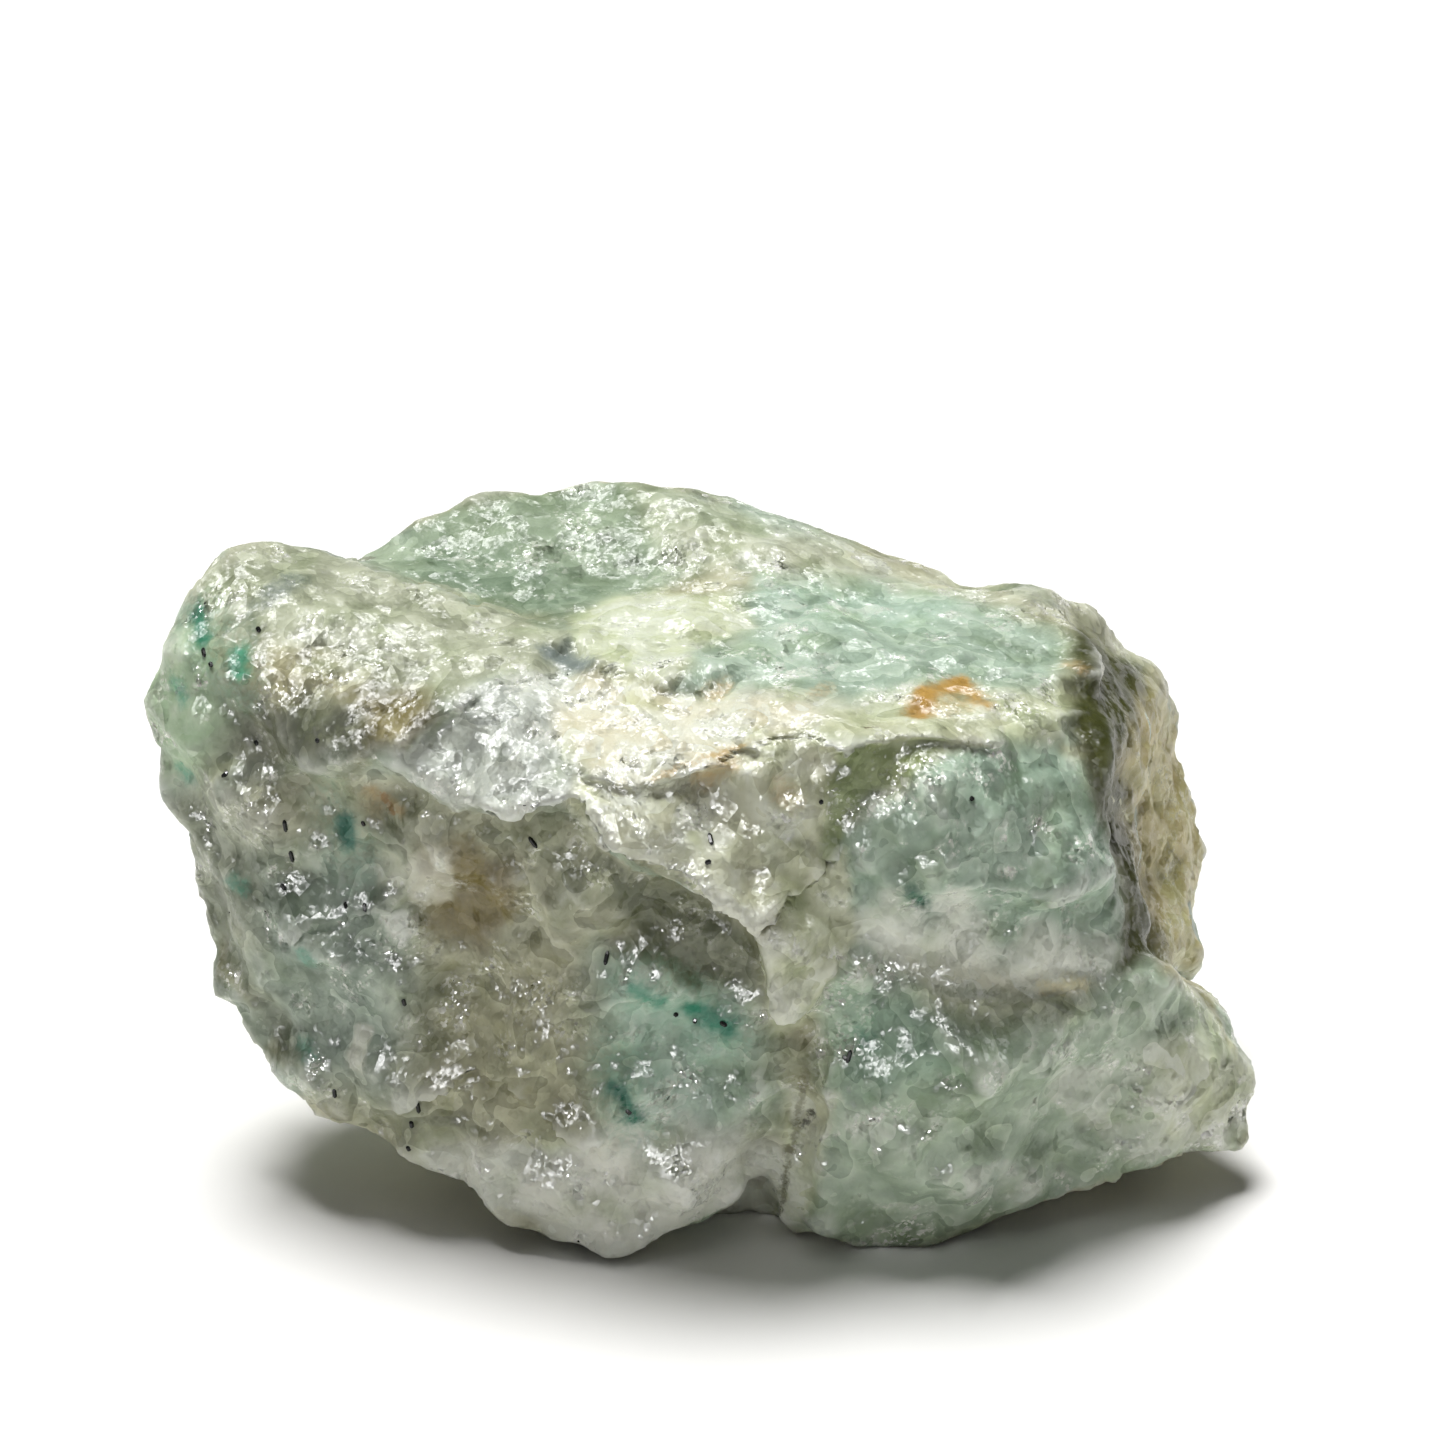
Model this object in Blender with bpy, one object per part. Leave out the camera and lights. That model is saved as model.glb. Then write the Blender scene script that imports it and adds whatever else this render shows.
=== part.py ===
"""A rough lump of aquamarine, modelled as one solid at its real size.

The lump is about 73 mm long, 44 mm deep and 42 mm high. It stands on a small
flat spot. +Z is up, -Y is the front, and the origin is on the surface that it
stands on, under the middle of the lump.

It is built the way the stone broke: angular blocks that meet along ledges and
creases are fused into one body, the fracture faces are hollowed and chipped
into flat facets, and the underside is cut level where the stone rests.
"""

import math

import bmesh
import bpy
from mathutils import Vector, noise

MM = 0.001

# Driving dimensions.
FUSE_CELL = 0.55 * MM
TRIANGLES = 8800
BENCH_WIDTH, BENCH_DEPTH = 120 * MM, 10 * MM

# The finish.
STONE_COLOUR = (0.47, 0.56, 0.46, 1.0)
STONE_ROUGHNESS = 0.35

# The broken surface: the size of each layer of swells and facets, and how deep it is.
# The warp bends the facets' lattice, and its seed picks how.
SWELLS = (13 * MM, 0.8 * MM)
FACETS = ((6.5 * MM, 1.1 * MM), (3.1 * MM, 0.55 * MM))
FACET_WARP = 0.35
WARP_SEED = 3
TOP_SMOOTHNESS = 0.55

# The corners of each block, in millimetres from the origin: across, back, up.
BLOCKS = {
    "core": [
        (-24, -8, 33), (24, -8, 34), (26, 8, 32), (18, 14, 33), (-18, 14, 35),
        (-20, -10, 8), (20, -14, 4), (26, 8, 6), (-14, 16, 8),
        (-6, -16, -1), (16, -15, -1), (18, 8, -1), (-6, 12, -1),
        (0, 21, 18), (14, 20, 14), (-12, 19, 20), (-6, -15, 33), (16, -14, 34),
    ],
    "nose": [
        (-28.8, 2, 42), (-25.8, 3, 41.3), (-31, 0, 42.2), (-33.2, -2, 41.2),
        (-35.4, -4, 37.9), (-36, -4, 34), (-35.6, -5, 26), (-27, -5, 40.8),
        (-23.4, -1, 39.8), (-16.7, -1, 38.6), (-12.7, -1.5, 37.6), (-8.6, -5, 37.8),
        (-30.5, -10, 35.5), (-26.6, -13.4, 30.8), (-23.2, -14.8, 31.9), (-20.3, -15.3, 34),
        (-18, -15.4, 35), (-15.6, -13.5, 37), (-10, -10.5, 37.6),
        (-32, 6, 36), (-24, 8, 37.5), (-33, 4, 24), (-20, 6, 24),
    ],
    "valley": [
        (-24, 5, 39), (-14, 2, 37), (-7, 0, 36.8), (-4, 5, 37), (-12, 10, 38.4),
        (-20, 12, 38), (-22, 2, 28), (-4, 2, 28), (-12, 12, 28),
        (-12, -11, 36.2), (-7, -13, 36.2), (-8, -10, 28), (-12, -12, 34.5),
    ],
    "plateau": [
        (-7, -6, 36.8), (8, -6, 37), (20, -6, 36), (26.5, -5, 34.8), (26, 4, 34.6),
        (14, 8, 36.4), (-2, 8, 38), (23, 9, 35), (-4, -4, 28), (24, -4, 28),
        (24, 8, 28),
    ],
    "front_left": [
        (-35, -6, 21), (-35.3, -5, 26), (-28, -12, 30), (-20, -13.5, 33),
        (-12, -15.3, 32), (-5, -16.6, 31), (2.6, -17.8, 25), (3.6, -18.8, 20),
        (-34, -8, 14.7), (-31.4, -11, 9.7), (-25.8, -14, 5.6),
        (-19.5, -16.5, 5), (-12, -19.5, 2.3), (-6.5, -21, -0.5), (-3, -20.8, 0.6),
        (0, -20, 2), (3, -19.5, 3.2), (-6.5, -20.4, 12), (4.3, -20.2, 12),
        (-30, 3, 15), (-33, 3, 23), (-18, 0, 4), (-4, -4, -1), (2, -6, -1),
        (-27, 6, 28), (0, 0, 30),
    ],
    "shelf": [
        (-20, -14.8, 33.5), (-12.5, -18.3, 30.8), (-7.7, -18.4, 32.8), (-9, -11, 38),
        (-14.5, -13.5, 36.6), (-19, -10, 31), (-8, -10, 31), (-13, -14, 29.5),
    ],
    "cream_slab": [
        (-8.6, -15, 36), (-8, -17, 34.2), (-1, -18.8, 34.2), (7.5, -17.2, 35.6),
        (15, -15.2, 35.8), (-8, -8, 37.2), (0, -6, 37), (8, -5, 37),
        (16, -4, 36.6), (-6, -14, 30), (12, -12, 30), (14, 0, 33), (-4, 0, 33),
        (21, -9, 36), (24, -6, 35.4),
    ],
    "top_lens": [
        (-9.6, 1, 37), (-9.2, -2, 37.4), (-6.8, -9.8, 37.8), (-1, -11.6, 38),
        (3.2, -7, 37.7), (8, -3, 37.1), (7.5, 0.5, 37.1), (-0.1, 4, 37.6),
        (-6, -8, 35), (2, -8, 35), (6, 0, 34), (-7, 0, 34),
    ],
    "tongue": [
        (-8, -18.6, 33.4), (-6, -20.9, 30), (-2.3, -21.5, 28), (0.2, -21.7, 26.6),
        (3.4, -21.2, 24), (5.2, -20.2, 25.4), (7.2, -18.4, 29.2), (8, -17.4, 34),
        (-1, -18.6, 34), (-4, -14, 29), (4, -14, 26), (8, -13, 30),
    ],
    "saddle": [
        (7.5, -16.8, 34.8), (15, -15, 35.2), (10.4, -16.9, 32.3), (8.6, -17.6, 29.5),
        (6, -18.4, 26), (9.2, -18, 28), (12, -17.6, 25), (16, -17.5, 22),
        (8, -18.4, 22), (8, -8, 33), (8, -8, 20), (16, -8, 30), (16, -10, 18),
    ],
    "fold": [
        (-1, -17, 28), (5.5, -18.2, 27), (2, -18, 18), (5.5, -19, 16), (1, -17.9, 23),
        (6, -18.6, 21), (-1, -10, 26), (6, -10, 24), (2, -10, 16), (6, -10, 16),
    ],
    "crease": [
        (5, -19, 3), (4.6, -19.4, 10.5), (6.2, -19.2, 13), (4.2, -19.2, 17),
        (7.4, -19.2, 19), (7.2, -18.6, 5), (7.6, -18.6, -0.4), (5.4, -18.6, -0.8),
        (4, -8, -1), (8, -8, -1), (6, -8, 20), (2, -16, 14),
    ],
    "leaf": [
        (4.9, -20, 25.4), (3.5, -20.6, 23), (3.3, -21.1, 21.2), (4.4, -22, 17.6),
        (6.5, -21.8, 17.4), (7.8, -20.8, 20.6), (9, -19.8, 22.8), (7.5, -18.8, 26),
        (5, -15, 24), (7, -15, 17), (9, -15, 22),
    ],
    "right_upper": [
        (13.8, -17, 33.8), (15.5, -15.8, 35.2), (24, -11, 33.8), (10.2, -17.8, 32),
        (9, -18.5, 30.4), (9, -19.3, 28), (11.4, -20, 25.8), (13.5, -20.4, 26.2),
        (15, -20.4, 30), (19.2, -20.1, 25.4), (23.9, -17.4, 24), (27, -13.2, 25),
        (24, -9, 35.6), (26.9, -8, 30.4), (28.5, -9, 23.5), (28, 0, 30.5),
        (14, -8, 26), (24, -4, 24), (14, -6, 33),
    ],
    "right_lower": [
        (9, -17.8, 27.5), (8, -18.2, 25), (10.6, -18.8, 19.9), (16.3, -18.2, 19.7),
        (25.5, -15.3, 17.6), (20, -17.6, 26.5), (26, -12.6, 26), (30.7, -7.5, 15.5),
        (29.6, -7, 22), (12, -6, 18), (26, -2, 16), (28, -4, 26), (24, 8, 20),
    ],
    "lower_lobe": [
        (8, -19.8, 22.3), (15.5, -20, 19.3), (26, -16.6, 17), (30, -12.5, 17.4),
        (17.5, -22.6, 14.5), (7, -20.9, 13), (6.9, -20.9, 9), (6.3, -20.6, 4),
        (6.9, -20.2, 0.6), (9.7, -19.6, -0.9),
        (12.5, -19.5, -0.8), (15.6, -19.4, -0.5), (22.8, -18, 1.2), (31.7, -14, 4.6),
        (38.4, -10, 6.2), (37.6, -11.5, 2.8), (35, -3, 11), (37.2, -6, 9),
        (31, -7, 14.5), (20, 0, 16), (30, 2, 6), (10, -8, -1), (24, -6, -1),
        (8, -10, 20), (33, -8, 1.8),
    ],
    "rear_hill": [
        (-25, 8.5, 38.4), (-19, 12, 39.2), (-15, 14, 40.6), (-7, 16, 41.8), (0, 17, 39.8),
        (9, 16, 36.6), (-7, 5, 37), (-16, 6, 38), (-8, 22, 30), (4, 22, 28),
        (-20, 15, 28), (-10, 8, 20), (6, 8, 20), (-14, 20, 20),
        (18, 13, 34.6), (12, 3, 36.8), (20, 10, 33),
    ],
    "right_back": [
        (18, 13, 34.4), (24.2, 9, 35.2), (28.8, 11, 30.6), (32.8, 12, 26.6),
        (35, 13, 22), (36.3, 12, 12.7), (37.2, 11, 10.3), (36.8, 6, 5.5),
        (27.6, -6.5, 30.4), (29.8, -6.5, 20), (30.5, -5, 10), (20, 18, 26),
        (22, 18, 12), (28, 14, 4), (20, 4, 4),
    ],
    "rear_plate": [
        (-14, 19.6, 27), (-2, 21.8, 26), (8, 21.4, 23), (12, 20, 12), (4, 20.8, 8),
        (-7, 20.4, 12), (-12, 19, 19), (-10, 10, 20), (8, 10, 14),
    ],
    "base": [
        (-6, -15, -1.8), (14, -15, -1.8), (18, -8, -1.8), (16, 7, -1.8), (-4, 9, -1.8),
        (-9, -6, -1.8), (-6, -15, 4), (14, -15, 4), (16, 7, 4), (-6, 8, 4),
    ],
    "rear_foot": [
        (-16, 14, 18), (-10, 18.6, 14), (-5, 19.4, 4), (6, 17.6, 0.8), (-8, 12, -0.8),
        (12, 17, 6), (-17, 9, 7), (-4, 8, 16), (8, 8, -0.8),
    ],
}

# Hollows in the fracture faces, in millimetres: the middle, the radius and the depth.
HOLLOWS = {
    "front": ((-15, -16.5, 18), 11, 1.5),
    "front_low": ((-1, -19.5, 14), 7, 0.8),
    "left_end": ((-31, 0, 24), 9, 1.4),
    "lobe": ((24, -18, 9), 8, 0.9),
    "right_side": ((32, 3, 19), 9, 1.1),
    "plateau": ((15, 0, 36), 8, 0.6),
    "rear": ((10, 20, 24), 9, 1.5),
    "rear_left": ((-22, 14, 22), 10, 1.4),
    "underside": ((-20, -6, 6), 9, 1.2),
}


def clear_scene():
    for obj in list(bpy.data.objects):
        bpy.data.objects.remove(obj)


def add_object(name, mesh):
    """Puts the mesh in the scene as an object with this name."""
    data = bpy.data.meshes.new(name)
    mesh.to_mesh(data)
    mesh.free()
    obj = bpy.data.objects.new(name, data)
    bpy.context.scene.collection.objects.link(obj)
    return obj


def take_mesh(obj):
    """The object's mesh with its modifiers applied, in place of the object."""
    mesh = bmesh.new()
    mesh.from_object(obj, bpy.context.evaluated_depsgraph_get())
    bpy.data.objects.remove(obj)
    return mesh


def add_block(mesh, corners):
    """Adds the convex block that these corners span."""
    verts = [mesh.verts.new(Vector(corner) * MM) for corner in corners]
    hull = bmesh.ops.convex_hull(mesh, input=verts)
    inner = [v for v in hull["geom_interior"] if isinstance(v, bmesh.types.BMVert)]
    bmesh.ops.delete(mesh, geom=inner, context="VERTS")


def fused_blocks():
    """The blocks as one object, which a voxel remesh makes one body."""
    mesh = bmesh.new()
    for corners in BLOCKS.values():
        add_block(mesh, corners)
    bmesh.ops.recalc_face_normals(mesh, faces=mesh.faces)
    blocks = add_object("blocks", mesh)
    fuse = blocks.modifiers.new("fuse", "REMESH")
    fuse.mode = "VOXEL"
    fuse.voxel_size = FUSE_CELL
    soften = blocks.modifiers.new("soften", "SMOOTH")
    soften.factor = 0.5
    soften.iterations = 3
    return blocks


def facet_height(point, size):
    """A height that is linear inside each tetrahedron of a lattice, so it makes flat facets."""
    place = point / size
    place += noise.noise_vector(place) * FACET_WARP
    place += Vector.Fill(3, sum(place) / 3)
    corner = Vector([math.floor(value) for value in place])
    rest = place - corner
    axes = sorted(range(3), key=lambda axis: rest[axis], reverse=True)
    shares = [rest[axis] for axis in axes] + [0.0]
    height = (1 - shares[0]) * noise.cell(corner)
    for step, axis in enumerate(axes):
        corner[axis] += 1
        height += (shares[step] - shares[step + 1]) * noise.cell(corner)
    return height - 0.5


def hollow_depth(point):
    """How far the hollows sink the surface at a point."""
    depth = 0.0
    for middle, radius, deepest in HOLLOWS.values():
        reach = 1 - (point - Vector(middle) * MM).length / (radius * MM)
        if reach > 0:
            depth += deepest * MM * reach * reach * (3 - 2 * reach)
    return depth


def break_surface(mesh):
    """Swells, hollows and facets the surface, along its own normals."""
    noise.seed_set(WARP_SEED)
    swell_size, swell_depth = SWELLS
    moves = []
    for vert in mesh.verts:
        rise = noise.noise(vert.co / swell_size) * swell_depth - hollow_depth(vert.co)
        roughness = 1 - TOP_SMOOTHNESS * max(vert.normal.z, 0)
        for size, depth in FACETS:
            rise += facet_height(vert.co, size) * depth * roughness
        moves.append(vert.normal * rise)
    for vert, move in zip(mesh.verts, moves):
        vert.co += move


def closed_lump(mesh):
    """The broken surface as one closed body again, in fewer triangles."""
    triangles = 2 * len(mesh.faces)
    lump = add_object("lump", mesh)
    close = lump.modifiers.new("close", "REMESH")
    close.mode = "VOXEL"
    close.voxel_size = FUSE_CELL
    thin = lump.modifiers.new("thin", "DECIMATE")
    thin.ratio = TRIANGLES / triangles
    return lump


def put_over_origin(mesh):
    """Slides the stone along its bench until its middle is over the origin."""
    across = [vert.co.x for vert in mesh.verts]
    back = [vert.co.y for vert in mesh.verts]
    slide = Vector((min(across) + max(across), min(back) + max(back), 0)) / -2
    bmesh.ops.translate(mesh, verts=mesh.verts, vec=slide)


def stone_material():
    material = bpy.data.materials.new("rough_aquamarine")
    material.use_nodes = True
    shader = material.node_tree.nodes["Principled BSDF"]
    shader.inputs["Base Color"].default_value = STONE_COLOUR
    shader.inputs["Roughness"].default_value = STONE_ROUGHNESS
    shader.inputs["Metallic"].default_value = 0.0
    return material


def add_bench():
    """The cutter under the stone, whose top is the surface that the stone rests on."""
    mesh = bmesh.new()
    bmesh.ops.create_cube(mesh, size=1.0)
    bmesh.ops.scale(mesh, verts=mesh.verts, vec=(BENCH_WIDTH, BENCH_WIDTH, BENCH_DEPTH))
    bmesh.ops.translate(mesh, verts=mesh.verts, vec=(0, 0, -BENCH_DEPTH / 2))
    bench = add_object("bench", mesh)
    bench.hide_render = True
    bench.display_type = "WIRE"
    return bench


def main():
    clear_scene()
    mesh = take_mesh(fused_blocks())
    break_surface(mesh)
    mesh = take_mesh(closed_lump(mesh))
    put_over_origin(mesh)
    stone = add_object("aquamarine", mesh)
    stone.data.materials.append(stone_material())
    level = stone.modifiers.new("level", "BOOLEAN")
    level.operation = "DIFFERENCE"
    level.solver = "EXACT"
    level.object = add_bench()


if __name__ == "__main__":
    main()
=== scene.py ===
import math

import bmesh
import bpy
import numpy as np
from mathutils import Euler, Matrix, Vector, noise
from mathutils.bvhtree import BVHTree


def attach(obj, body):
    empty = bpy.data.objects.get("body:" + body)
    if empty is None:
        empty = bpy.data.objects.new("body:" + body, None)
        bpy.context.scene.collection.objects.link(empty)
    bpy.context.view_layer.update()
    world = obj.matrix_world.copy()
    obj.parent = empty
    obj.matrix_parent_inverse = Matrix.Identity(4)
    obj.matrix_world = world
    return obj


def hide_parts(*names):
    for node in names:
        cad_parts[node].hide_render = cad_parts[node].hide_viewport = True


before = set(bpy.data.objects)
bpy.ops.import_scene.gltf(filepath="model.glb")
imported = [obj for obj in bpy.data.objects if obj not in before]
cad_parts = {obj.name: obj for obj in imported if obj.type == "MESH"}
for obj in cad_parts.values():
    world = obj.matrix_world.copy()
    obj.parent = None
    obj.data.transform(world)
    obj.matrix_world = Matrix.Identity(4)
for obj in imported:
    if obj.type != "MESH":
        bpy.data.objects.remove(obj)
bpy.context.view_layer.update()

mm = 0.001


# Camera, at the height and distance the photo was taken from.
viewer = {
    "lookAt": (0.92, 0.05, 29.1),  # mm
    "distance": 230,  # mm
    "pitchDown": 26,  # degrees
    "lens": 86,  # mm
    "sensor": 36,  # mm
    "photoSide": 1445,  # pixels
}

cameraTurn = Euler((math.pi / 2 - math.radians(viewer["pitchDown"]), 0, 0)).to_matrix()
cameraPlace = (Vector(viewer["lookAt"]) + cameraTurn @ Vector((0, 0, viewer["distance"]))) * mm
focalPixels = viewer["photoSide"] * viewer["lens"] / viewer["sensor"]
middlePixel = viewer["photoSide"] / 2


def addCamera():
    lens = bpy.data.cameras.new("photoCamera")
    lens.lens = viewer["lens"]
    lens.sensor_width = viewer["sensor"]
    lens.clip_start = 5 * mm
    camera = bpy.data.objects.new("photoCamera", lens)
    camera.location = cameraPlace
    camera.rotation_euler = cameraTurn.to_euler()
    bpy.context.scene.collection.objects.link(camera)
    bpy.context.scene.camera = camera


def lookThrough(pixel):
    across, down = pixel
    local = Vector(((across - middlePixel) / focalPixels, (middlePixel - down) / focalPixels, -1))
    return (cameraTurn @ local).normalized()


def toPixels(places):
    # where points in metres land in the photo
    local = (places - np.array(cameraPlace)) @ np.array(cameraTurn)
    depth = -local[:, 2]
    across = middlePixel + focalPixels * local[:, 0] / depth
    down = middlePixel - focalPixels * local[:, 1] / depth
    return np.stack([across, down], axis=1)


pixelSize = viewer["distance"] / focalPixels  # mm on the stone for one photo pixel


def hexColour(code):
    # a hex colour as the linear values a shader needs
    parts = [int(code[at:at + 2], 16) / 255 for at in (0, 2, 4)]
    linear = [part / 12.92 if part <= 0.04045 else ((part + 0.055) / 1.055) ** 2.4 for part in parts]
    return (*linear, 1.0)


# Node building, for geometry and shader trees alike.
class Wire:
    # a socket that can be used in sums

    def __init__(self, bench, socket):
        self.bench = bench
        self.socket = socket

    def maths(self, operation, *values):
        sockets = dict(enumerate(values))
        return self.bench.wire("ShaderNodeMath", {"operation": operation}, sockets)

    def __add__(self, other):
        return self.maths("ADD", self, other)

    def __radd__(self, other):
        return self.maths("ADD", other, self)

    def __sub__(self, other):
        return self.maths("SUBTRACT", self, other)

    def __rsub__(self, other):
        return self.maths("SUBTRACT", other, self)

    def __mul__(self, other):
        return self.maths("MULTIPLY", self, other)

    def __truediv__(self, other):
        return self.maths("DIVIDE", self, other)


class Bench:
    # a node tree and the one way nodes get into it

    def __init__(self, tree):
        self.tree = tree

    def node(self, kind, settings=None, sockets=None):
        made = self.tree.nodes.new(kind)
        for name, value in (settings or {}).items():
            setattr(made, name, value)
        for name, value in (sockets or {}).items():
            if isinstance(value, Wire):
                self.tree.links.new(value.socket, made.inputs[name])
            else:
                made.inputs[name].default_value = value
        return made

    def wire(self, kind, settings=None, sockets=None, output=0):
        return Wire(self, self.node(kind, settings, sockets).outputs[output])

    def vector(self, operation, *values, output=0):
        return self.wire("ShaderNodeVectorMath", {"operation": operation}, dict(enumerate(values)), output)

    def scaled(self, vector, amount):
        return self.wire("ShaderNodeVectorMath", {"operation": "SCALE"}, {0: vector, "Scale": amount})

    def dot(self, one, other):
        return self.vector("DOT_PRODUCT", one, other, output="Value")

    def length(self, vector):
        return self.vector("LENGTH", vector, output="Value")

    def blend(self, factor, one, other):
        settings = {"data_type": "RGBA"}
        return self.wire("ShaderNodeMix", settings, {0: factor, 6: one, 7: other}, 2)

    def ease(self, value, start, end, low=0.0, high=1.0):
        settings = {"interpolation_type": "SMOOTHSTEP"}
        sockets = {0: value, 1: start, 2: end, 3: low, 4: high}
        return self.wire("ShaderNodeMapRange", settings, sockets)

    def noise(self, place, size, detail, roughness=0.5, output=0):
        sockets = {"Vector": place, "Scale": 1 / size, "Detail": detail, "Roughness": roughness}
        return self.wire("ShaderNodeTexNoise", {}, sockets, output)

    def attribute(self, name, output="Fac"):
        # a value kept on the points of the mesh
        return self.wire("ShaderNodeAttribute", {"attribute_name": name}, {}, output)

    def warped(self, place, size, amount):
        # the place, pushed about so that flat faces on it bend a little
        push = self.vector("SUBTRACT", self.noise(place, size, 0.0, output="Color"), (0.5, 0.5, 0.5))
        return self.vector("ADD", place, self.scaled(push, 2 * amount))

    def inUnits(self, place, size):
        # the place measured in a size that comes from a socket
        sizes = self.wire("ShaderNodeCombineXYZ", {}, {0: size, 1: size, 2: size})
        return self.vector("DIVIDE", place, sizes)

    def pyramids(self, place, turn, metric):
        # low crystal points with flat sides, one unit apart, that meet in valleys
        turned = self.wire(
            "ShaderNodeVectorRotate", {"rotation_type": "EULER_XYZ"}, {"Vector": place, "Rotation": turn},
        )
        sockets = {"Vector": turned, "Scale": 1.0}
        return 0.5 - self.wire("ShaderNodeTexVoronoi", {"distance": metric}, sockets, "Distance")

    def layers(self, place, size, count, detail):
        # thin layers broken back one after another, 0 to 1 across each and then a sharp step
        bands = self.noise(place, size, detail) * count
        return bands.maths("FRACT", bands)

    def facets(self, place, size, seed):
        # one flat face in each cell: the way it leans, and a number of its own
        shifted = self.vector("ADD", place, (seed, seed * 1.7, seed * 0.6))
        colour = self.wire("ShaderNodeTexVoronoi", {}, {"Vector": shifted, "Scale": 1 / size}, "Color")
        return self.vector("SUBTRACT", colour, (0.5, 0.5, 0.5)), self.dot(colour, (0.4, 0.35, 0.25))


# The stone's mesh: a fine copy of the solid, with its ledges, creases and chips.
stoneShape = {
    "weld": 0.001,  # mm
    "voxel": 0.38,  # mm, near 194,000 triangles
    "softenings": 2,
    "softening": 0.5,  # share of each
    "seenSlack": 0.6,  # mm that a seen point may lie behind the first hit
    "edgeRagged": 1.0,  # mm
    "edgeGrain": 2.2,  # mm
    "edgeMiddle": 0.4,  # the ragged pattern's middle value
    "creaseRagged": 0.5,  # share of edgeRagged
    "endFade": 1.2,  # mm over which a ledge or crease runs out
    "endLeft": 0.2,  # share of it left at its very end
    "undercut": 0.08,  # share of a ledge's height
    "undercutReach": 2.5,  # mm
}

# Each ledge runs along photo pixels, from left to right below the part that stands proud.
# height and reach are in mm, and push is the way it rises.
ledges = {
    "creamSlab": {
        "line": [(575, 765), (586, 771), (635, 789), (705, 774), (736, 749), (803, 734), (846, 746),
                 (947, 737), (1000, 742)],
        "height": 0.42, "reach": 4.5, "push": (0, -0.95, 0.3),
    },
    "tongue": {
        "line": [(566, 800), (603, 826), (610, 842), (633, 855), (649, 864), (682, 865), (695, 876),
                 (704, 890), (725, 904), (756, 924), (776, 908), (788, 893), (805, 879), (814, 855),
                 (837, 846)],
        "height": 0.9, "reach": 5.5, "push": (0, -1, 0),
    },
    "shelf": {
        "line": [(380, 760), (440, 790), (500, 815), (560, 800), (590, 790)],
        "height": 0.7, "reach": 4.0, "push": (0, -1, 0.1),
    },
    "noseLower": {
        "line": [(225, 770), (287, 777), (354, 760), (409, 749), (440, 722), (464, 694), (544, 676),
                 (590, 667)],
        "height": 0.28, "reach": 4.5, "push": (0, -0.8, 0.6),
    },
    "noseRear": {
        "line": [(600, 634), (550, 625), (507, 616), (446, 595), (400, 587), (342, 560)],
        "height": 0.4, "reach": 3.5, "push": (0, 0.4, 1),
    },
    "lens": {
        "line": [(574, 640), (580, 651), (601, 667), (640, 674), (665, 690), (680, 664), (699, 651),
                 (757, 633), (800, 625)],
        "height": 0.25, "reach": 4.0, "push": (0, -0.4, 1),
    },
    "leaf": {
        "line": [(776, 908), (762, 947), (759, 977), (762, 996), (774, 1029), (787, 1038), (805, 1032),
                 (813, 1014), (823, 983), (842, 953), (854, 940)],
        "height": 0.3, "reach": 2.2, "push": (0, -1, 0),
    },
    "rightBlock": {
        "line": [(852, 862), (885, 905), (920, 900), (960, 885), (985, 892), (1010, 900), (1080, 905),
                 (1120, 870)],
        "height": 0.15, "reach": 4.0, "push": (0, -1, 0),
    },
    "lobeTop": {
        "line": [(1120, 978), (1081, 990), (1036, 994), (980, 1000), (938, 990)],
        "height": 0.12, "reach": 5.0, "push": (0, -1, 0.3),
    },
    "frontStep": {
        "line": [(255, 905), (300, 925), (350, 915), (402, 905), (455, 905)],
        "height": 0.35, "reach": 4.0, "push": (0, -1, 0),
    },
    "lowerStep": {
        "line": [(395, 1100), (430, 1090), (470, 1072), (520, 1085), (560, 1130), (610, 1150)],
        "height": 0.6, "reach": 3.5, "push": (0, -1, 0),
    },
}

# Creases run along photo pixels too. depth and width are in mm.
creases = {
    "middle": {"line": [(815, 1040), (812, 1110), (800, 1130), (785, 1180), (782, 1215)],
               "depth": 0.5, "width": 0.6},
    "underSlab": {"line": [(640, 800), (705, 786), (745, 762), (805, 748)], "depth": 0.25, "width": 0.4},
    "saddle": {"line": [(845, 850), (850, 825), (870, 800), (905, 785), (950, 752), (990, 747)],
               "depth": 0.25, "width": 0.7},
    "rightCrack": {"line": [(1036, 992), (1081, 992)], "depth": 0.3, "width": 0.4},
    "lensCrevice": {"line": [(601, 671), (640, 684), (668, 698)], "depth": 0.2, "width": 0.4},
    "greySeam": {"line": [(545, 668), (570, 650), (590, 664)], "depth": 0.35, "width": 0.5},
}


def nearLine(pixels, line):
    # signed distance in mm from a line of pixels, positive on its right, and how far along it is
    distance = np.full(len(pixels), 1e9)
    signed = np.zeros(len(pixels))
    along = np.zeros(len(pixels))
    travelled = 0.0
    for start, end in zip(line, line[1:]):
        start, step = np.array(start, float), np.subtract(end, start).astype(float)
        span = np.hypot(*step)
        offset = pixels - start
        share = np.clip(offset @ step / span ** 2, 0, 1)
        gap = offset - share[:, None] * step
        away = np.hypot(gap[:, 0], gap[:, 1])
        closer = away < distance
        turn = step[0] * offset[:, 1] - step[1] * offset[:, 0]
        distance = np.where(closer, away, distance)
        signed = np.where(closer, away * np.sign(turn), signed)
        along = np.where(closer, travelled + share * span, along)
        travelled += span
    return signed * pixelSize, along * pixelSize, travelled * pixelSize


def smoothShare(value):
    value = np.clip(value, 0, 1)
    return value * value * (3 - 2 * value)


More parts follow.
